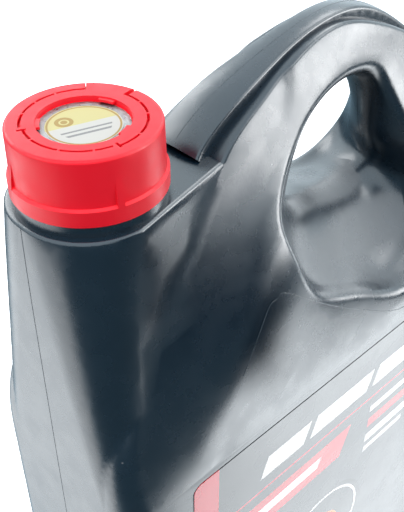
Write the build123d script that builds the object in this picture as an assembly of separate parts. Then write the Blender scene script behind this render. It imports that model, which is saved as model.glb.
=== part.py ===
from build123d import *
from math import cos, pi, sin
import os

# overall sizes of the bottle
body_width = 222.0
body_depth = 76.0
cap_top = 336.0
neck_offset = 25.6
wall = 1.7
body_corner = 12.0
base_radius = 5.0
base_rise = 2.0
base_margin = 11.0

# shoulder, column and ledge
shoulder_z = 204.8
ledge_z = 312.0
rim_radius = 24.9
rim_round = 1.1
column_flare = 10.4
column_corner = 11.2
tongue_x = 39.0
tongue_half = 15.7
tongue_flare = 9.6

# cheeks of the handle
limb_left = 32.0
limb_half = 15.7
limb_corner = 5.0
grip_half = 6.4
grip_corner = 6.4
edge_start = -6.5
edge_run = 85.2
edge_blend = 3.0

# crest of the handle, drops measured from the cap top
crest_half = 6.4
crest_rise = 5.0
crest_round = 1.6
crest_line = ((59.2, -12.0), (81.6, -3.4), (102.4, -0.6), (126.4, -7.4), (150.0, -20.0), (170.0, -42.0),
              (185.0, -78.0))
crest_end = -125.0
crest_over = 4.0

# stepped spine along the crest
spine_line = ((32.0, -22.0), (44.2, -13.2), (66.6, -4.5), (85.5, 0.5), (102.4, 2.6), (120.0, 0.2),
              (139.8, -10.2), (156.0, -21.0), (170.0, -38.5), (176.0, -60.0))
spine_base_half = 10.8
spine_half = 5.3
spine_taper = 0.36
spine_depth = 7.2
spine_round = 1.2

# outlines of the finger hole seen from the front, as places and drops from the cap top:
# at the middle, and where its flare would meet the front and the back of the tank
hole_throat = ((80.4, 56.8), (86.4, 41.6), (98.0, 28.4), (110.8, 26.0), (122.4, 28.8), (129.2, 44.0),
               (133.8, 59.2), (138.0, 72.0), (132.5, 77.2), (121.6, 77.6), (104.4, 73.1), (89.1, 67.9))
hole_front = ((47.0, 53.0), (40.5, 42.0), (43.0, 14.0), (88.0, -8.9), (111.5, -2.1), (135.0, 28.8),
              (140.5, 56.6), (156.0, 105.0), (150.0, 120.0), (126.0, 124.5), (95.0, 109.0), (60.0, 86.0))
hole_back = ((56.9, 56.8), (60.2, 38.7), (72.1, 19.8), (110.8, 11.2), (155.3, 35.4), (179.3, 56.1),
             (172.3, 60.8), (161.8, 70.9), (154.3, 79.4), (137.6, 85.6), (108.9, 78.7), (85.7, 74.0))
hole_power = 1.3
hole_reach = 43.2
hole_round = 5.0

# label panels
panel_left = 3.2
panel_right = 181.0
panel_low = 12.0
panel_top = 202.4
panel_corner = 5.6
panel_sink = 0.7
label_margin = 1.6
label_thick = 0.25

# neck
bore_radius = 17.2
neck_radius = 19.5
collar_radius = 22.9
collar_gap = 0.4
liner_thick = 1.0
liner_gap = 0.4

# cap
cap_radius = 22.3
cap_height = 20.2
cap_plate = 3.4
cap_bore = 20.5
cap_round = 1.0
skirt_draft = 0.25
band_radius = 23.4
band_height = 4.9
band_ledge = 0.65
rib_count = 4
rib_width = 2.1
rib_rise = 8.8
rib_turn = -105.5
ring_radius = 17.4
ring_step = 0.4
slot_width = 0.8
slot_depth = 1.6
tab_from = 9.5
tab_to = 51.0
step_turn_a = 156.0
step_turn_b = 264.0
step_gap = 5.0
step_reach = 1.3
notch_width = 1.45
seam_width = 0.35
nib_width = 0.6
nib_turns = (80, 103, 126, 176, 209, 241, 290, 327, 350)
recess_radius = 13.6
recess_depth = 1.8
web_reach = 1.3
web_spread = 22.0
web_turns = (22, 143, 292)
web_sink = 0.3
web_thick = 0.8
foil_radius = 13.1
foil_thick = 0.2
sticker_radius = 10.9
sticker_thick = 0.15
sticker_shift = 0.7

# derived heights and places
right_x = body_width - neck_offset
half_depth = body_depth / 2
cap_low = cap_top - cap_height
lip_z = cap_top - cap_plate - liner_thick
recess_z = cap_top - recess_depth
frame_shift = neck_offset - body_width / 2


def blend(start, end, share, power):
    return start + (end - start) * share**power


def between(near, far):
    return Vector(*near) * 0.8 + Vector(*far) * 0.2


def corner(start, knee, end):
    return Bezier(start, knee, end, weights=[1, 0.7071, 1])


def tank_section(z, inset):
    share = (z - shoulder_z) / (ledge_z - shoulder_z)
    share = max(share, 0)
    low = min(share, 1)
    left = blend(-neck_offset, limb_left, low, 2.1) + inset
    right = right_x - inset
    left_half = blend(half_depth, limb_half, low, 1.15) - inset
    front_half = limb_half + (half_depth - limb_half) * (1 - low**4)**1.6 - inset
    right_half = grip_half + (half_depth - grip_half) * (1 - low**2)**1.4 - inset
    if share > 1:
        left_half = crest_half - inset
        front_half = crest_half - inset
        right_half = crest_half - inset
    edge = edge_start + edge_run * low
    turn_left = blend(body_corner, limb_corner, low, 0.5) - inset
    turn_right = blend(body_corner, grip_corner, low, 1) - inset
    turn_left = min(turn_left, 0.7 * left_half)
    turn_right = min(turn_right, 0.7 * right_half)
    slope = (right_half - front_half) / (right - edge)
    reach = right_half - slope * turn_right
    lean = (front_half - left_half) / (edge - left - turn_left)
    sides = []
    for side in (-1, 1):
        a = (left, side * (left_half - turn_left))
        b = (left + turn_left, side * left_half)
        c = (edge - edge_blend, side * (front_half - lean * edge_blend))
        d = (edge + edge_blend, side * (front_half + slope * edge_blend))
        e = (right - turn_right, side * reach)
        f = (right, side * (right_half - turn_right))
        sides.append(corner(a, (left, side * left_half), b))
        tangents = [(1, side * lean), (1, side * slope)]
        sides.append(Spline(b, between(c, b), c, d, between(d, e), e, tangents=tangents))
        sides.append(corner(e, (right, side * right_half), f))
    ends = [Line(sides[0] @ 0, sides[3] @ 0), Line(sides[2] @ 1, sides[5] @ 1)]
    return Pos(0, 0, z) * make_face(sides + ends)


def column_section(z, inset):
    share = (ledge_z - z) / (ledge_z - shoulder_z)
    left = -rim_radius - (neck_offset - rim_radius) * share**0.3 + inset
    half = rim_radius + column_flare * share**1.3 - inset
    turn = blend(rim_radius - rim_round, column_corner, share, 0.8) - inset
    tip = tongue_half + tongue_flare * share - inset
    tip_x = tongue_x - inset
    edges = []
    for side in (-1, 1):
        a = (left, side * (half - turn))
        b = (left + turn, side * half)
        edges.append(corner(a, (left, side * half), b))
        edges.append(Line(b, (tip_x, side * tip)))
    edges.append(Line(edges[0] @ 0, edges[2] @ 0))
    edges.append(Line(edges[1] @ 1, edges[3] @ 1))
    return Pos(0, 0, z) * make_face(edges)


def crest_outline(inset):
    top = cap_top - 1.2 * inset
    ledge = ledge_z - 1.2 * inset
    right = right_x - inset + crest_over
    left = -neck_offset - body_corner
    points = [(tongue_x, ledge)]
    for n, (x, drop) in enumerate(crest_line):
        points.append((x - inset * n / len(crest_line), top + drop))
    points.append((right, top + crest_end))
    crest = Spline(*points, tangents=[(1, 1), (0.15, -1)])
    rest = Polyline(
        points[-1],
        (right, inset),
        (left, inset),
        (left, ledge - wall),
        (tongue_x - wall, ledge - wall),
        points[0],
    )
    face = Plane.XZ * make_face([crest, rest])
    return Pos(0, body_depth, 0) * extrude(face, amount=2 * body_depth)


def spine(inset):
    path = Plane.XZ * Spline(*[(x, cap_top + drop) for x, drop in spine_line])
    sections = []
    for share in (0, 0.1, 0.2, 0.35, 0.5, 0.65, 0.8, 0.9, 1):
        half = blend(spine_half, spine_base_half, max(0, 1 - share / spine_taper), 1) - inset
        crown = half * 0.12
        low = (-half, -spine_depth)
        high = (-half, -crown - inset)
        arch = [
            Line(low, high),
            ThreePointArc(high, (0, -inset), (half, -crown - inset)),
            Line((half, -crown - inset), (half, -spine_depth)),
            Line((half, -spine_depth), low),
        ]
        place = Plane(origin=path @ share, x_dir=(0, 1, 0), z_dir=path % share)
        sections.append(place * make_face(arch))
    return loft(sections)


def grown_loop(points, grow):
    loop = []
    for n, (x, z) in enumerate(points):
        ahead = Vector(*points[(n + 1) % len(points)]) - Vector(*points[n - 1])
        loop.append(Vector(x, z) + Vector(-ahead.Y, ahead.X).normalized() * grow)
    return make_face(Spline(*loop, periodic=True))


def finger_hole(inset):
    sections = []
    for n in range(-3, 4):
        y = hole_reach * n / 3
        share = abs(y) / half_depth
        flare = hole_front if n < 0 else hole_back
        points = []
        for (x, drop), (far_x, far_drop) in zip(hole_throat, flare):
            fall = blend(drop, far_drop, share, hole_power)
            points.append((blend(x, far_x, share, hole_power), cap_top - fall))
        sections.append(Plane.XZ.offset(-y) * grown_loop(points, inset))
    return loft(sections)


def round_crest(form):
    crest = form.faces().sort_by(Axis.Z)[-1]
    return fillet(crest.edges().sort_by(SortBy.LENGTH)[-2:], crest_round)


def bottle_form(inset):
    low = tank_section(shoulder_z, inset)
    tank = extrude(low, amount=-(shoulder_z - inset))
    stations = [shoulder_z + (ledge_z - shoulder_z) * n / 5 for n in range(6)]
    cheeks = loft([tank_section(z, inset) for z in stations + [cap_top + crest_rise]])
    stations = [ledge_z - inset - (ledge_z - shoulder_z) * n / 4 for n in range(5)]
    column = loft([column_section(z, inset) for z in stations])
    band = spine(inset)
    hole = finger_hole(inset)
    if inset:
        form = ((tank + cheeks) & crest_outline(inset)) - hole
        return form + column + band
    tank = fillet(tank.faces().sort_by(Axis.Z)[0].edges(), base_radius)
    column = fillet(column.faces().sort_by(Axis.Z)[-1].edges(), rim_round)
    band = fillet(band.edges().sort_by(SortBy.LENGTH)[-2:], spine_round)
    form = round_crest((tank + cheeks) & crest_outline(0))
    bored = form - hole
    bored = fillet(new_edges(form, hole, combined=bored), hole_round)
    return bored + column + band


def panel(thick, margin):
    wide = panel_right - panel_left - 2 * margin
    tall = panel_top - panel_low - 2 * margin
    middle = Pos((panel_left + panel_right) / 2, (panel_low + panel_top) / 2)
    face = Plane.XZ * middle * RectangleRounded(wide, tall, panel_corner - margin)
    return Pos(0, -half_depth + panel_sink, 0) * extrude(face, amount=thick)


def disc(radius, low, high):
    return Pos(0, 0, low) * extrude(Circle(radius), amount=high - low)


def base_dent(grow):
    wide = body_width - 2 * base_margin + 2 * grow
    deep = body_depth - 2 * base_margin + 2 * grow
    sole = RectangleRounded(wide, deep, body_corner + grow)
    return Pos(-frame_shift, 0, 0) * extrude(sole, amount=base_rise)


def bottle():
    body = bottle_form(0)
    body -= base_dent(0)
    front = panel(body_corner, 0)
    body = body - front - mirror(front, about=Plane.XZ)
    body += disc(collar_radius, ledge_z - wall, cap_low - collar_gap)
    body += disc(neck_radius, ledge_z - wall, lip_z)
    hollow = bottle_form(wall)
    hollow -= Pos(0, 0, wall) * base_dent(wall)
    hollow += disc(bore_radius, ledge_z - 3 * wall, lip_z + 1)
    return body - hollow


def arc_slot(radius, start, end):
    section = Plane.XZ * Pos(radius, cap_top) * Rectangle(slot_width, 2 * slot_depth)
    return Rot(0, 0, start) * revolve(section, Axis.Z, end - start)


def radial_slot(turn, inner, outer, width):
    block = Pos((inner + outer) / 2, 0, cap_top) * Box(outer - inner, width, 2 * slot_depth)
    return Rot(0, 0, turn) * block


def cap():
    band_top = cap_low + band_height
    skirt = cap_radius + skirt_draft
    outline = Polyline(
        (cap_bore, cap_low),
        (band_radius, cap_low),
        (band_radius, band_top),
        (skirt, band_top + band_ledge),
        (cap_radius, cap_top),
        (0, cap_top),
        (0, cap_top - cap_plate),
        (cap_bore, cap_top - cap_plate),
        close=True,
    )
    shell = revolve(Plane.XZ * make_face(outline), Axis.Z)
    shell = fillet(shell.edges().group_by(Axis.Z)[-1], cap_round)
    fin = make_face(
        Polyline(
            (cap_bore + 1, band_top - 1),
            (band_radius, band_top - 1),
            (band_radius, band_top),
            (cap_radius, band_top + rib_rise),
            (cap_bore + 1, band_top + rib_rise),
            close=True,
        )
    )
    fin = extrude(Plane.XZ * fin, amount=rib_width / 2, both=True)
    for n in range(rib_count):
        shell += Rot(0, 0, rib_turn + 360 * n / rib_count) * fin
    shell -= disc(recess_radius, recess_z, cap_top + 1)
    shell -= arc_slot(ring_radius + ring_step, tab_to, step_turn_a - step_gap)
    shell -= arc_slot(ring_radius - ring_step, step_turn_a, step_turn_b - step_gap)
    shell -= arc_slot(ring_radius + ring_step, step_turn_b, 360 + tab_from)
    for turn in (step_turn_a, step_turn_b):
        shell -= radial_slot(turn, ring_radius - step_reach, ring_radius + step_reach, slot_width)
    shell -= radial_slot(tab_from, ring_radius, cap_radius + 1, notch_width)
    shell -= radial_slot(tab_to, ring_radius, cap_radius + 1, seam_width)
    nib = Pos(ring_radius, 0, cap_top - slot_depth / 2) * Box(3 * slot_width, nib_width, slot_depth)
    for turn in nib_turns:
        shell += Rot(0, 0, turn) * nib
    web = Plane.XZ * Pos(recess_radius - web_reach / 2 + 0.5, cap_top - web_sink - web_thick / 2)
    web = revolve(web * Rectangle(web_reach + 1, web_thick), Axis.Z, web_spread)
    for turn in web_turns:
        shell += Rot(0, 0, turn - web_spread / 2) * web
    return shell


def round_sticker():
    low = recess_z + foil_thick
    shift = Pos(-sticker_shift * cos(pi / 4), -sticker_shift * sin(pi / 4), 0)
    return shift * disc(sticker_radius, low, low + sticker_thick)


pieces = {
    "bottle": bottle(),
    "cap": cap(),
    "cap_liner": disc(cap_bore - liner_gap, lip_z, cap_top - cap_plate),
    "foil_disc": disc(foil_radius, recess_z, recess_z + foil_thick),
    "round_sticker": round_sticker(),
    "front_label": panel(label_thick, label_margin),
}
os.makedirs("parts", exist_ok=True)
for name, shape in pieces.items():
    export_step(Pos(frame_shift, 0, 0) * shape, f"parts/{name}.step")
    print(name, len(shape.solids()), shape.is_valid, round(shape.volume))
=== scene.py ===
import math

import bmesh
import bpy
from mathutils import Matrix, Vector
from mathutils.bvhtree import BVHTree


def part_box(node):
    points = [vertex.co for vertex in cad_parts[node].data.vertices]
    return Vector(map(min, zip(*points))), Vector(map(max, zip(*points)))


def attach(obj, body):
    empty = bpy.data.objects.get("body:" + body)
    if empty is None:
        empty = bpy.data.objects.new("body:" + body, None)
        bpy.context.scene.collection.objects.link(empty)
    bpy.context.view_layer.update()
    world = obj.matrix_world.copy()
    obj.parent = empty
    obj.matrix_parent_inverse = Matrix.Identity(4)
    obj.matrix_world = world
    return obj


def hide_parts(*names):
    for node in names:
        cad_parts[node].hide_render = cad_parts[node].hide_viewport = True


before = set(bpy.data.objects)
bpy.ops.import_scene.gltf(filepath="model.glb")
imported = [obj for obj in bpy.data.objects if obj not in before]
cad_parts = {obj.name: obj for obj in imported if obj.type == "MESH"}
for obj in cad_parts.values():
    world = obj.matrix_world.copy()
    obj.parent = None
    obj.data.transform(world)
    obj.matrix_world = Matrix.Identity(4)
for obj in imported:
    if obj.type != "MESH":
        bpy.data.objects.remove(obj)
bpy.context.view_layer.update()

neckX = -0.0854      # the neck's axis, in metres
capTop = 0.336
mergeDistance = 1e-6
fineMerge = 1e-7     # for the thin swept lines
print("stage: frame loaded")


# small helpers for materials
def newMaterial(name):
    material = bpy.data.materials.new(name)
    material.use_nodes = True
    tree = material.node_tree
    return material, tree, tree.nodes["Principled BSDF"]


def put(tree, socket, value):
    if isinstance(value, bpy.types.NodeSocket):
        tree.links.new(value, socket)
    else:
        socket.default_value = value


def mathNode(tree, operation, a, b=0.0):
    node = tree.nodes.new("ShaderNodeMath")
    node.operation = operation
    put(tree, node.inputs[0], a)
    put(tree, node.inputs[1], b)
    return node.outputs[0]


def objectCoords(tree):
    return tree.nodes.new("ShaderNodeTexCoord").outputs["Object"]


def splitCoords(tree, vector):
    split = tree.nodes.new("ShaderNodeSeparateXYZ")
    tree.links.new(vector, split.inputs[0])
    return split.outputs[0], split.outputs[1], split.outputs[2]


def noiseValue(tree, vector, scale, detail=3.0, roughness=0.55):
    noise = tree.nodes.new("ShaderNodeTexNoise")
    tree.links.new(vector, noise.inputs["Vector"])
    noise.inputs["Scale"].default_value = scale
    noise.inputs["Detail"].default_value = detail
    noise.inputs["Roughness"].default_value = roughness
    return noise.outputs["Fac"]


def remap(tree, value, low, high, toLow, toHigh):
    node = tree.nodes.new("ShaderNodeMapRange")
    put(tree, node.inputs["Value"], value)
    node.inputs["From Min"].default_value = low
    node.inputs["From Max"].default_value = high
    node.inputs["To Min"].default_value = toLow
    node.inputs["To Max"].default_value = toHigh
    return node.outputs["Result"]


# most of a noise lies between these two, so they are stretched to the whole span
noiseSpan = (0.3, 0.7)


def roughFrom(tree, noise, span):
    return remap(tree, noise, *noiseSpan, *span)


def mixColour(tree, mask, first, second):
    node = tree.nodes.new("ShaderNodeMix")
    node.data_type = "RGBA"
    put(tree, node.inputs["Factor"], mask)
    sockets = [s for s in node.inputs if s.type == "RGBA"]
    for socket, colour in zip(sockets, (first, second)):
        put(tree, socket, colour if isinstance(colour, bpy.types.NodeSocket) else (*colour, 1.0))
    return [s for s in node.outputs if s.type == "RGBA"][0]


def bump(tree, height, strength, distance):
    node = tree.nodes.new("ShaderNodeBump")
    node.inputs["Strength"].default_value = strength
    node.inputs["Distance"].default_value = distance
    tree.links.new(height, node.inputs["Height"])
    return node.outputs["Normal"]


def within(tree, value, low, high):
    above = mathNode(tree, "GREATER_THAN", value, low)
    below = mathNode(tree, "LESS_THAN", value, high)
    return mathNode(tree, "MULTIPLY", above, below)


def bar(tree, x, z, left, right, low, high, slant=0.0):
    lean = mathNode(tree, "MULTIPLY", mathNode(tree, "SUBTRACT", z, low), slant)
    along = mathNode(tree, "SUBTRACT", x, lean)
    return mathNode(tree, "MULTIPLY", within(tree, along, left, right), within(tree, z, low, high))


def distanceTo(tree, x, z, centreX, centreZ):
    dx = mathNode(tree, "SUBTRACT", x, centreX)
    dz = mathNode(tree, "SUBTRACT", z, centreZ)
    square = mathNode(tree, "ADD", mathNode(tree, "MULTIPLY", dx, dx), mathNode(tree, "MULTIPLY", dz, dz))
    return mathNode(tree, "SQRT", square)


# materials, one dictionary of values beside each
# noises are scales per metre, and bumps are (strength, height in metres)
bottleLook = {
    "colour": (0.0008, 0.0066, 0.0140), "pale": (0.0026, 0.0100, 0.0190), "cloud": 26.0, "specular": 0.75,
    "dust": 190.0, "dustColour": (0.12, 0.13, 0.14), "dustRadius": 0.055, "dustRare": 0.93,
    "streak": 90.0, "roughness": (0.23, 0.31), "grain": 2300.0, "grainBump": (0.16, 0.00012), "sharp": 32,
}


def blackPlastic():
    material, tree, shader = newMaterial("blackPlastic")
    coords = objectCoords(tree)
    cloud = noiseValue(tree, coords, bottleLook["cloud"])
    shader.inputs["Specular IOR Level"].default_value = bottleLook["specular"]
    colour = mixColour(tree, cloud, bottleLook["colour"], bottleLook["pale"])
    # a few pale specks of dust
    speck = tree.nodes.new("ShaderNodeTexVoronoi")
    tree.links.new(coords, speck.inputs["Vector"])
    speck.inputs["Scale"].default_value = bottleLook["dust"]
    near = mathNode(tree, "LESS_THAN", speck.outputs["Distance"], bottleLook["dustRadius"])
    pick = tree.nodes.new("ShaderNodeSeparateColor")
    tree.links.new(speck.outputs["Color"], pick.inputs[0])
    rare = mathNode(tree, "GREATER_THAN", pick.outputs[0], bottleLook["dustRare"])
    dust = mathNode(tree, "MULTIPLY", near, rare)
    colour = mixColour(tree, dust, colour, bottleLook["dustColour"])
    tree.links.new(colour, shader.inputs["Base Color"])
    streak = noiseValue(tree, coords, bottleLook["streak"], 4.0)
    tree.links.new(roughFrom(tree, streak, bottleLook["roughness"]), shader.inputs["Roughness"])
    grain = noiseValue(tree, coords, bottleLook["grain"], 2.0)
    tree.links.new(bump(tree, grain, *bottleLook["grainBump"]), shader.inputs["Normal"])
    return material


capLook = {
    "colour": (0.80, 0.004, 0.016), "pale": (0.84, 0.010, 0.026), "cloud": 60.0, "specular": 0.4,
    "mottle": 240.0, "roughness": (0.34, 0.46), "grain": 3000.0, "grainBump": (0.10, 0.0001), "sharp": 28,
}


def redPlastic():
    material, tree, shader = newMaterial("redPlastic")
    coords = objectCoords(tree)
    cloud = noiseValue(tree, coords, capLook["cloud"])
    tree.links.new(mixColour(tree, cloud, capLook["colour"], capLook["pale"]), shader.inputs["Base Color"])
    shader.inputs["Specular IOR Level"].default_value = capLook["specular"]
    mottle = noiseValue(tree, coords, capLook["mottle"])
    tree.links.new(roughFrom(tree, mottle, capLook["roughness"]), shader.inputs["Roughness"])
    grain = noiseValue(tree, coords, capLook["grain"], 2.0)
    tree.links.new(bump(tree, grain, *capLook["grainBump"]), shader.inputs["Normal"])
    return material


# shade is painted shade in the foam's cell hollows, light is painted light on the raised cells
foamLook = {"shade": (0.80, 0.79, 0.74), "light": (0.90, 0.89, 0.86), "roughness": 0.7,
            "cell": 1500.0, "cellBump": (0.3, 0.0002)}


def linerFoam():
    material, tree, shader = newMaterial("linerFoam")
    cell = noiseValue(tree, objectCoords(tree), foamLook["cell"], 2.0)
    # colour follows the cell height: painted shade in the hollows, painted light on the raised cells
    tree.links.new(mixColour(tree, cell, foamLook["shade"], foamLook["light"]), shader.inputs["Base Color"])
    shader.inputs["Roughness"].default_value = foamLook["roughness"]
    tree.links.new(bump(tree, cell, *foamLook["cellBump"]), shader.inputs["Normal"])
    return material


# shade is painted shade in the foil's crinkle hollows, light is painted highlight on its ridges
foilLook = {"shade": (0.12, 0.12, 0.12), "light": (0.42, 0.42, 0.41), "roughness": (0.22, 0.5),
            "crease": 620.0, "creaseBump": (0.8, 0.0005)}


def crinkledFoil():
    material, tree, shader = newMaterial("crinkledFoil")
    crease = noiseValue(tree, objectCoords(tree), foilLook["crease"], 5.0, 0.7)
    # colour follows the crinkle height: painted shade in the hollows, painted highlight on the ridges
    tree.links.new(mixColour(tree, crease, foilLook["shade"], foilLook["light"]), shader.inputs["Base Color"])
    shader.inputs["Metallic"].default_value = 1.0
    tree.links.new(roughFrom(tree, crease, foilLook["roughness"]), shader.inputs["Roughness"])
    tree.links.new(bump(tree, crease, *foilLook["creaseBump"]), shader.inputs["Normal"])
    return material


# lines run across the sticker, turned a little from the label side; the disc is (across, up, radius)
stickerLook = {
    "centre": (neckX - 0.000495, -0.000495), "paper": (0.56, 0.56, 0.53), "yellow": (0.58, 0.53, 0.22),
    "gold": (0.36, 0.23, 0.03), "grey": (0.22, 0.22, 0.22), "ring": (0.0100, 0.0106), "turn": 17.46,
    "divide": 0.0010, "disc": (-0.0032, 0.0050, 0.0027), "discRing": (0.0010, 0.0015),
    "lines": ((-0.0026, -0.0018), (-0.0048, -0.0038)), "lineReach": 0.0078, "roughness": 0.35,
    "fibre": 900.0, "fibreBump": (0.06, 0.0001),
}


def stickerPrint():
    material, tree, shader = newMaterial("stickerPrint")
    x, y, z = splitCoords(tree, objectCoords(tree))
    centreX, centreY = stickerLook["centre"]
    radius = distanceTo(tree, x, y, centreX, centreY)
    turn = math.radians(stickerLook["turn"])
    sideways = mathNode(tree, "MULTIPLY", mathNode(tree, "SUBTRACT", x, centreX), math.sin(turn))
    upwards = mathNode(tree, "MULTIPLY", mathNode(tree, "SUBTRACT", y, centreY), math.cos(turn))
    across = mathNode(tree, "ADD", sideways, upwards)
    upper = mathNode(tree, "GREATER_THAN", across, stickerLook["divide"])
    colour = mixColour(tree, upper, stickerLook["paper"], stickerLook["yellow"])
    discX, discY, discRadius = stickerLook["disc"]
    disc = distanceTo(tree, x, y, centreX + discX, centreY + discY)
    colour = mixColour(tree, mathNode(tree, "LESS_THAN", disc, discRadius), colour, stickerLook["gold"])
    colour = mixColour(tree, within(tree, disc, *stickerLook["discRing"]), colour, stickerLook["yellow"])
    inner = mathNode(tree, "LESS_THAN", radius, stickerLook["lineReach"])
    for low, high in stickerLook["lines"]:
        stripe = mathNode(tree, "MULTIPLY", within(tree, across, low, high), inner)
        colour = mixColour(tree, stripe, colour, stickerLook["grey"])
    colour = mixColour(tree, within(tree, radius, *stickerLook["ring"]), colour, stickerLook["gold"])
    tree.links.new(colour, shader.inputs["Base Color"])
    shader.inputs["Roughness"].default_value = stickerLook["roughness"]
    fibre = noiseValue(tree, objectCoords(tree), stickerLook["fibre"])
    tree.links.new(bump(tree, fibre, *stickerLook["fibreBump"]), shader.inputs["Normal"])
    return material


# bars are (colour, left, right, low, high, slant), measured from the label's lower left corner
labelLook = {
    "top": (0.016, 0.018, 0.022), "foot": (0.050, 0.054, 0.062), "strip": 0.0125,
    "red": (0.62, 0.012, 0.030), "white": (0.84, 0.85, 0.86), "amber": (0.70, 0.26, 0.03),
    "ink": (0.010, 0.011, 0.014), "roughness": (0.22, 0.30), "specular": 0.70,
    "wave": 45.0, "ripple": 130.0, "rippleBump": (0.05, 0.0005),
    "bars": (
        ("white", 0.036, 0.062, 0.1590, 0.1705, 0.35), ("white", 0.066, 0.104, 0.1590, 0.1705, 0.35),
        ("white", 0.108, 0.150, 0.1590, 0.1705, 0.35), ("red", 0.0185, 0.1746, 0.1508, 0.1520, 0.0),
        ("red", 0.022, 0.090, 0.1265, 0.1440, 0.35), ("white", 0.030, 0.074, 0.1325, 0.1385, 0.35),
        ("white", 0.110, 0.156, 0.1405, 0.1445, 0.0), ("red", 0.110, 0.148, 0.1300, 0.1360, 0.0),
        ("white", 0.110, 0.160, 0.1195, 0.1250, 0.0), ("white", 0.110, 0.140, 0.1125, 0.1160, 0.0),
        ("white", 0.022, 0.062, 0.0300, 0.0345, 0.0), ("white", 0.022, 0.074, 0.0215, 0.0260, 0.0),
    ),
    "motif": (0.082, 0.074), "motifRadius": 0.032, "motifRing": (0.0275, 0.0290), "motifHeart": 0.014,
}


def labelPrint():
    material, tree, shader = newMaterial("labelPrint")
    coords = objectCoords(tree)
    x, y, z = splitCoords(tree, coords)
    low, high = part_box("front_label")
    across = mathNode(tree, "SUBTRACT", x, low[0])
    above = mathNode(tree, "SUBTRACT", z, low[2])
    fade = remap(tree, above, 0.0, high[2] - low[2], 0.0, 1.0)
    colour = mixColour(tree, fade, labelLook["foot"], labelLook["top"])
    # a round motif in the lower half
    motif = distanceTo(tree, across, above, *labelLook["motif"])
    disc = mathNode(tree, "LESS_THAN", motif, labelLook["motifRadius"])
    heart = mathNode(tree, "LESS_THAN", motif, labelLook["motifHeart"])
    colour = mixColour(tree, disc, colour, labelLook["ink"])
    colour = mixColour(tree, within(tree, motif, *labelLook["motifRing"]), colour, labelLook["white"])
    colour = mixColour(tree, heart, colour, labelLook["amber"])
    for tint, *place in labelLook["bars"]:
        colour = mixColour(tree, bar(tree, across, above, *place), colour, labelLook[tint])
    strip = mathNode(tree, "LESS_THAN", across, labelLook["strip"])
    colour = mixColour(tree, strip, colour, labelLook["red"])
    tree.links.new(colour, shader.inputs["Base Color"])
    shader.inputs["Specular IOR Level"].default_value = labelLook["specular"]
    wave = noiseValue(tree, coords, labelLook["wave"])
    tree.links.new(roughFrom(tree, wave, labelLook["roughness"]), shader.inputs["Roughness"])
    ripple = noiseValue(tree, coords, labelLook["ripple"])
    tree.links.new(bump(tree, ripple, *labelLook["rippleBump"]), shader.inputs["Normal"])
    return material


blackMat = blackPlastic()
redMat = redPlastic()
foamMat = linerFoam()
foilMat = crinkledFoil()
stickerMat = stickerPrint()
labelMat = labelPrint()
print("stage: materials made")


# pieces that stand for the bottle and the cap, smoothly shaded
def smoothCopy(nodeName, pieceName, body, material, sharpAngle):
    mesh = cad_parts[nodeName].data.copy()
    mesh.name = pieceName
    bm = bmesh.new()
    bm.from_mesh(mesh)
    bmesh.ops.remove_doubles(bm, verts=bm.verts, dist=mergeDistance)
    for face in bm.faces:
        face.smooth = True
    limit = math.radians(sharpAngle)
    for edge in bm.edges:
        edge.smooth = edge.is_manifold and edge.calc_face_angle(0.0) < limit
    bm.to_mesh(mesh)
    bm.free()
    mesh.materials.clear()
    mesh.materials.append(material)
    piece = bpy.data.objects.new(pieceName, mesh)
    bpy.context.scene.collection.objects.link(piece)
    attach(piece, body)
    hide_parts(nodeName)
    return piece


bottlePiece = smoothCopy("bottle", "bottleShell", "bottle", blackMat, bottleLook["sharp"])
smoothCopy("cap", "screwCap", "cap", redMat, capLook["sharp"])
plainNodes = {"cap_liner": foamMat, "foil_disc": foilMat,
              "round_sticker": stickerMat, "front_label": labelMat}
for nodeName, material in plainNodes.items():
    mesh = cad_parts[nodeName].data
    mesh.materials.clear()
    mesh.materials.append(material)
print("stage: bottle and cap shaded")


# mould parting line, where the mid-plane meets the outside
# it stops at the foot and on the flat ledge beside the neck
seamLook = {"radius": 0.00010, "corners": 6, "lift": 0.0005, "foot": 0.003, "ledge": 0.3110, "tongue": 0.034}


def wireObject(name, coords, links):
    wire = bpy.data.meshes.new(name)
    wire.from_pydata(coords, links, [])
    holder = bpy.data.objects.new(name, wire)
    bpy.context.scene.collection.objects.link(holder)
    return holder


def partingLine():
    bm = bmesh.new()
    bm.from_mesh(bottlePiece.data)
    skin = BVHTree.FromBMesh(bm)
    whole = bm.verts[:] + bm.edges[:] + bm.faces[:]
    middlePlane = {"plane_co": (0, 0, 0), "plane_no": (0, 1, 0)}
    cut = bmesh.ops.bisect_plane(bm, geom=whole, dist=mergeDistance, **middlePlane)
    order, coords, links = {}, [], []
    for edge in cut["geom_cut"]:
        if not isinstance(edge, bmesh.types.BMEdge):
            continue
        middle = (edge.verts[0].co + edge.verts[1].co) / 2
        normal = sum((f.normal for f in edge.link_faces), Vector()).normalized()
        outside = skin.ray_cast(middle + normal * seamLook["lift"], Vector((0, 1, 0)))[0] is None
        clear = middle.z < seamLook["ledge"] or middle.x > neckX + seamLook["tongue"]
        if not (outside and clear and middle.z > seamLook["foot"]):
            continue
        pair = []
        for v in edge.verts:
            key = tuple(round(c, 6) for c in v.co)
            if key not in order:
                order[key] = len(coords)
                coords.append(v.co.copy())
            pair.append(order[key])
        if pair[0] != pair[1]:
            links.append(pair)
    bm.free()
    return wireObject("seamWire", coords, links)


# fine mould witness line on the front, beside the crease and under the finger hole, as places across and up
witnessLook = {"radius": 0.00013, "steps": 6, "front": -0.06,
               "path": ((-0.0574, 0.2414), (-0.0443, 0.2608), (-0.0390, 0.2634), (-0.0338, 0.2629),
                        (-0.0146, 0.2469), (0.0067, 0.2313), (0.0377, 0.2127), (0.0660, 0.2110))}


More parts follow.
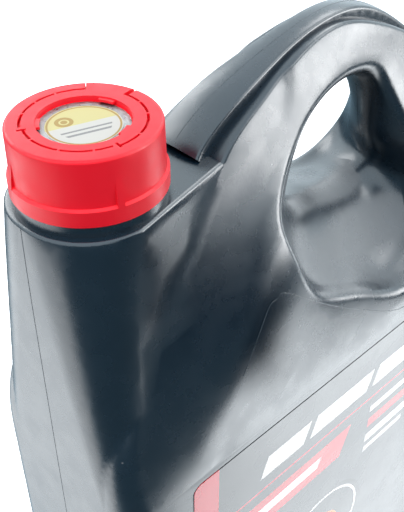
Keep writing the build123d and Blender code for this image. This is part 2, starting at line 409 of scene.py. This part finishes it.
def witnessLine():
    bm = bmesh.new()
    bm.from_mesh(bottlePiece.data)
    skin = BVHTree.FromBMesh(bm)
    bm.free()
    path = [Vector((x, witnessLook["front"], z)) for x, z in witnessLook["path"]]
    path = path[:1] + path + path[-1:]
    coords = []
    for a, b, c, d in zip(path, path[1:], path[2:], path[3:]):
        for n in range(witnessLook["steps"]):
            t = n / witnessLook["steps"]
            bend = (2 * a - 5 * b + 4 * c - d) * t**2 + (3 * b - a - 3 * c + d) * t**3
            spot = b + ((c - a) * t + bend) / 2
            coords.append(skin.ray_cast(spot, Vector((0, 1, 0)))[0])
    return wireObject("witnessWire", coords, [(n, n + 1) for n in range(len(coords) - 1)])


# node trees that sweep the lines and the threads
def geometryTree(name, inputs):
    tree = bpy.data.node_groups.new(name, "GeometryNodeTree")
    tree.interface.new_socket("Geometry", in_out="INPUT", socket_type="NodeSocketGeometry")
    tree.interface.new_socket("Geometry", in_out="OUTPUT", socket_type="NodeSocketGeometry")
    ids = {}
    for label, value in inputs.items():
        socket = tree.interface.new_socket(label, in_out="INPUT", socket_type="NodeSocketFloat")
        socket.default_value = value
        ids[label] = socket.identifier
    return tree, tree.nodes.new("NodeGroupInput"), tree.nodes.new("NodeGroupOutput"), ids


def closeTree(tree, end, geometry, material):
    real = tree.nodes.new("GeometryNodeRealizeInstances")
    paint = tree.nodes.new("GeometryNodeSetMaterial")
    paint.inputs["Material"].default_value = material
    tree.links.new(geometry, real.inputs[0])
    tree.links.new(real.outputs[0], paint.inputs["Geometry"])
    tree.links.new(paint.outputs[0], end.inputs[0])


def sweepAlong(tree, curve, radius, corners):
    ring = tree.nodes.new("GeometryNodeCurvePrimitiveCircle")
    ring.inputs["Resolution"].default_value = corners
    sweep = tree.nodes.new("GeometryNodeCurveToMesh")
    tree.links.new(radius, ring.inputs["Radius"])
    tree.links.new(curve, sweep.inputs["Curve"])
    tree.links.new(ring.outputs[0], sweep.inputs["Profile Curve"])
    sweep.inputs["Fill Caps"].default_value = True
    return sweep.outputs[0]


def bakeTree(holder, tree, ids, values, pieceName, body):
    modifier = holder.modifiers.new(tree.name, "NODES")
    modifier.node_group = tree
    for label, value in values.items():
        modifier[ids[label]] = value
    graph = bpy.context.evaluated_depsgraph_get()
    mesh = bpy.data.meshes.new_from_object(holder.evaluated_get(graph))
    mesh.name = pieceName
    bpy.data.objects.remove(holder)
    bm = bmesh.new()
    bm.from_mesh(mesh)
    bmesh.ops.remove_doubles(bm, verts=bm.verts, dist=fineMerge)
    bmesh.ops.recalc_face_normals(bm, faces=bm.faces)
    for face in bm.faces:
        face.smooth = True
    bm.to_mesh(mesh)
    bm.free()
    piece = bpy.data.objects.new(pieceName, mesh)
    bpy.context.scene.collection.objects.link(piece)
    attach(piece, body)


def ridgeTree(material):
    tree, start, end, ids = geometryTree("seamRidge", {"Radius": seamLook["radius"]})
    curve = tree.nodes.new("GeometryNodeMeshToCurve")
    tree.links.new(start.outputs["Geometry"], curve.inputs[0])
    ridge = sweepAlong(tree, curve.outputs[0], start.outputs["Radius"], seamLook["corners"])
    closeTree(tree, end, ridge, material)
    return tree, ids


seamTree, seamIds = ridgeTree(blackMat)
mouldLines = {"partingLine": (partingLine, seamLook), "witnessLine": (witnessLine, witnessLook)}
for name, (makeWire, look) in mouldLines.items():
    bakeTree(makeWire(), seamTree, seamIds, {"Radius": look["radius"]}, name, "bottle")
print("stage: mould lines made")

threadFine = {"steps": 64, "corners": 8}      # steps for each turn, corners of its section


def threadTree(name, values, material):
    tree, start, end, ids = geometryTree(name, values)
    spiral = tree.nodes.new("GeometryNodeCurveSpiral")
    spiral.inputs["Resolution"].default_value = threadFine["steps"]
    rise = tree.nodes.new("ShaderNodeMath")
    rise.operation = "MULTIPLY"
    tree.links.new(start.outputs["Pitch"], rise.inputs[0])
    tree.links.new(start.outputs["Turns"], rise.inputs[1])
    tree.links.new(start.outputs["Turns"], spiral.inputs["Rotations"])
    tree.links.new(start.outputs["Radius"], spiral.inputs["Start Radius"])
    tree.links.new(start.outputs["Radius"], spiral.inputs["End Radius"])
    tree.links.new(rise.outputs[0], spiral.inputs["Height"])
    thread = sweepAlong(tree, spiral.outputs[0], start.outputs["Depth"], threadFine["corners"])
    place = tree.nodes.new("ShaderNodeCombineXYZ")
    place.inputs[0].default_value = neckX
    tree.links.new(start.outputs["Base"], place.inputs[2])
    move = tree.nodes.new("GeometryNodeTransform")
    tree.links.new(thread, move.inputs["Geometry"])
    tree.links.new(place.outputs[0], move.inputs["Translation"])
    closeTree(tree, end, move.outputs[0], material)
    return tree, ids


threadLook = {"neck": {"Radius": 0.0194, "Pitch": 0.005, "Turns": 2.0, "Depth": 0.0007, "Base": 0.3185},
              "cap": {"Radius": 0.0206, "Pitch": 0.005, "Turns": 2.0, "Depth": 0.0007, "Base": 0.3210}}
threadSides = (("neck", "bottle", "black_plastic", blackMat), ("cap", "cap", "red_plastic", redMat))
for name, body, slot, material in threadSides:
    tree, ids = threadTree(name + "Thread", threadLook[name], material)
    holder = wireObject(name + "Spiral", [(0, 0, 0)], [])
    bakeTree(holder, tree, ids, threadLook[name], name + "Thread", body)
print("stage: threads made")

# stage, light and camera
stageLook = {"floor": (0.94, 0.97, 1.0), "size": 8.0, "roughness": 0.8, "glow": (1.2, 1.236), "mottle": 3.0}
# a glowing sheet that only reflections see; patches are (left, right, near, far, soft edge, strength)
sheetLook = {"lift": 0.0004, "base": 0.30, "bright": 2.30,
             "shade": (0.50, 0.80, 1.0), "tint": (0.91, 0.965, 1.0),
             "patches": ((-0.05, 0.55, -0.255, 0.00, 0.06, 3.3), (0.04, 0.60, -0.250, -0.12, 0.05, 3.0),
                         (0.70, 5.00, -5.00, -0.45, 0.40, 4.0), (-0.80, -0.06, -0.12, 0.70, 0.16, 2.7),
                         (0.20, 3.00, 0.20, 3.00, 0.50, 1.4))}
# cards that only reflections see, each with one working side
# middle, facing, width, height, soft edge as a share of the card, shade, glow
cardDark = (0.004, 0.005, 0.006)
cardLight = (0.90, 0.965, 1.0)
cardLook = {
    "sideCard": ((0.1202, -1.1437, 0.45), (-0.1045, 0.9945, 0.0), 0.75, 0.90, 0.001, cardDark, 0.0),
    "creaseFlag": ((-0.029, -0.061, 0.242), (-0.68, 0.43, 0.59), 0.046, 0.080, 0.38, cardDark, 0.0),
    "holeCard": ((0.055, -0.030, 0.246), (-0.91, 0.37, -0.16), 0.056, 0.038, 0.25, cardLight, 3.0),
    "windowCard": ((0.050, 0.001, 0.264), (-0.93, -0.06, -0.36), 0.034, 0.038, 0.25, cardLight, 2.6),
}
# boxes are (name, azimuth and height in degrees, distance, width and height in metres, watts, what it lights)
lightLook = {
    "target": (0.0, 0.0, 0.24), "world": 2.4, "tint": (0.80, 0.93, 1.0),
    "boxes": (
        ("leftFill", 165, 30, 1.5, 1.0, 1.0, 19.0, "diffuse"),
        ("rightFill", 300, 30, 1.5, 1.0, 1.0, 19.0, "diffuse"),
        ("topFill", 228, 60, 1.5, 1.0, 1.0, 13.0, "diffuse"),
        ("backBox", 95, 32, 1.3, 1.0, 0.6, 8.5, "glossy"),
        ("windowBox", 317, 1, 1.3, 0.60, 0.46, 7.8, "glossy"),
        ("rightBox", 316, 38, 1.3, 0.9, 0.5, 5.6, "glossy"),
        ("farBox", 10, 50, 1.3, 0.7, 0.5, 6.0, "glossy"),
    ),
}


def ramp(tree, value, low, high):
    node = tree.nodes.new("ShaderNodeMapRange")
    node.interpolation_type = "SMOOTHSTEP"
    put(tree, node.inputs["Value"], value)
    node.inputs["From Min"].default_value = low
    node.inputs["From Max"].default_value = high
    return node.outputs["Result"]


def softPatch(tree, x, y, left, right, near, far, edge, strength):
    across = mathNode(tree, "MULTIPLY", ramp(tree, x, left, left + edge), ramp(tree, x, right, right - edge))
    along = mathNode(tree, "MULTIPLY", ramp(tree, y, near, near + edge), ramp(tree, y, far, far - edge))
    return mathNode(tree, "MULTIPLY", mathNode(tree, "MULTIPLY", across, along), strength)


def stagePlane(name, lift, tint, size=stageLook["size"]):
    bpy.ops.mesh.primitive_plane_add(size=size, location=(0, 0, lift))
    plane = bpy.context.object
    plane.name = name
    material, tree, shader = newMaterial(name + "Paint")
    put(tree, shader.inputs["Base Color"], (*tint, 1.0))
    put(tree, shader.inputs["Emission Color"], (*tint, 1.0))
    shader.inputs["Roughness"].default_value = stageLook["roughness"]
    plane.data.materials.append(material)
    return plane, tree, shader


def hideFromCamera(plane):
    plane.visible_camera = False
    plane.visible_diffuse = False
    plane.visible_shadow = False


def buildFloor():
    floor, tree, shader = stagePlane("floor", 0.0, stageLook["floor"])
    mottle = noiseValue(tree, objectCoords(tree), stageLook["mottle"])
    glow = remap(tree, mottle, 0.0, 1.0, *stageLook["glow"])
    tree.links.new(glow, shader.inputs["Emission Strength"])
    floor.visible_glossy = False
    floor.visible_diffuse = False
    sheet, tree, shader = stagePlane("sheet", sheetLook["lift"], sheetLook["tint"])
    put(tree, shader.inputs["Base Color"], (0.0, 0.0, 0.0, 1.0))
    shader.inputs["Specular IOR Level"].default_value = 0.0
    x, y, z = splitCoords(tree, objectCoords(tree))
    glow = sheetLook["base"]
    for patch in sheetLook["patches"]:
        glow = mathNode(tree, "ADD", softPatch(tree, x, y, *patch), glow)
    tree.links.new(glow, shader.inputs["Emission Strength"])
    # the dim parts are bluer than the bright ones
    bright = ramp(tree, glow, sheetLook["base"], sheetLook["bright"])
    colour = mixColour(tree, bright, sheetLook["shade"], sheetLook["tint"])
    tree.links.new(colour, shader.inputs["Emission Color"])
    hideFromCamera(sheet)


def buildCards():
    for name, (middle, facing, wide, tall, edge, shade, glow) in cardLook.items():
        card, tree, shader = stagePlane(name, 0.0, shade, 1.0)
        shader.inputs["Roughness"].default_value = 1.0
        shader.inputs["Specular IOR Level"].default_value = 0.0
        shader.inputs["Emission Strength"].default_value = glow
        behind = tree.nodes.new("ShaderNodeNewGeometry").outputs["Backfacing"]
        x, y, z = splitCoords(tree, objectCoords(tree))
        cover = softPatch(tree, x, y, -0.5, 0.5, -0.5, 0.5, edge, 1.0)
        front = mathNode(tree, "SUBTRACT", 1.0, behind)
        tree.links.new(mathNode(tree, "MULTIPLY", front, cover), shader.inputs["Alpha"])
        card.scale = (wide, tall, 1.0)
        card.rotation_euler = Vector(facing).to_track_quat("Z", "Y").to_euler()
        card.location = middle
        hideFromCamera(card)


def buildLight():
    world = bpy.data.worlds.new("studio")
    world.use_nodes = True
    background = world.node_tree.nodes["Background"]
    background.inputs["Color"].default_value = (*lightLook["tint"], 1.0)
    background.inputs["Strength"].default_value = lightLook["world"]
    world.cycles_visibility.diffuse = False
    bpy.context.scene.world = world
    target = Vector(lightLook["target"])
    for name, azimuth, height, away, wide, tall, power, lights in lightLook["boxes"]:
        data = bpy.data.lights.new(name, "AREA")
        data.shape = "RECTANGLE"
        data.size, data.size_y, data.energy = wide, tall, power
        turn, lift = math.radians(azimuth), math.radians(height)
        out = Vector((math.cos(turn) * math.cos(lift), math.sin(turn) * math.cos(lift), math.sin(lift)))
        lamp = bpy.data.objects.new(name, data)
        lamp.location = target + out * away
        lamp.rotation_euler = (-out).to_track_quat("-Z", "Y").to_euler()
        lamp.visible_diffuse = lights != "glossy"
        lamp.visible_glossy = lights != "diffuse"
        lamp.visible_camera = False
        bpy.context.scene.collection.objects.link(lamp)


cameraLook = {"place": (neckX - 0.11978, -0.17179, capTop + 0.11644), "pitch": 38.55, "turn": 46.2,
              "roll": -0.17, "lens": 59.77}


def buildCamera():
    data = bpy.data.cameras.new("photoCamera")
    data.sensor_width = 36.0
    data.lens = cameraLook["lens"]
    data.clip_start = 0.01
    camera = bpy.data.objects.new("photoCamera", data)
    pitch, turn, roll = (math.radians(cameraLook[k]) for k in ("pitch", "turn", "roll"))
    ahead = Vector((math.cos(turn), math.sin(turn), 0))
    right = Vector((math.sin(turn), -math.cos(turn), 0))
    up = Vector((0, 0, 1))
    look = ahead * math.cos(pitch) - up * math.sin(pitch)
    over = ahead * math.sin(pitch) + up * math.cos(pitch)
    sideways = right * math.cos(roll) + over * math.sin(roll)
    upward = over * math.cos(roll) - right * math.sin(roll)
    camera.matrix_world = Matrix((sideways, upward, -look)).transposed().to_4x4()
    camera.location = cameraLook["place"]
    bpy.context.scene.collection.objects.link(camera)
    bpy.context.scene.camera = camera


buildFloor()
buildCards()
buildLight()
buildCamera()
bpy.context.scene.view_settings.view_transform = "Standard"
print("stage: floor, light and camera set")
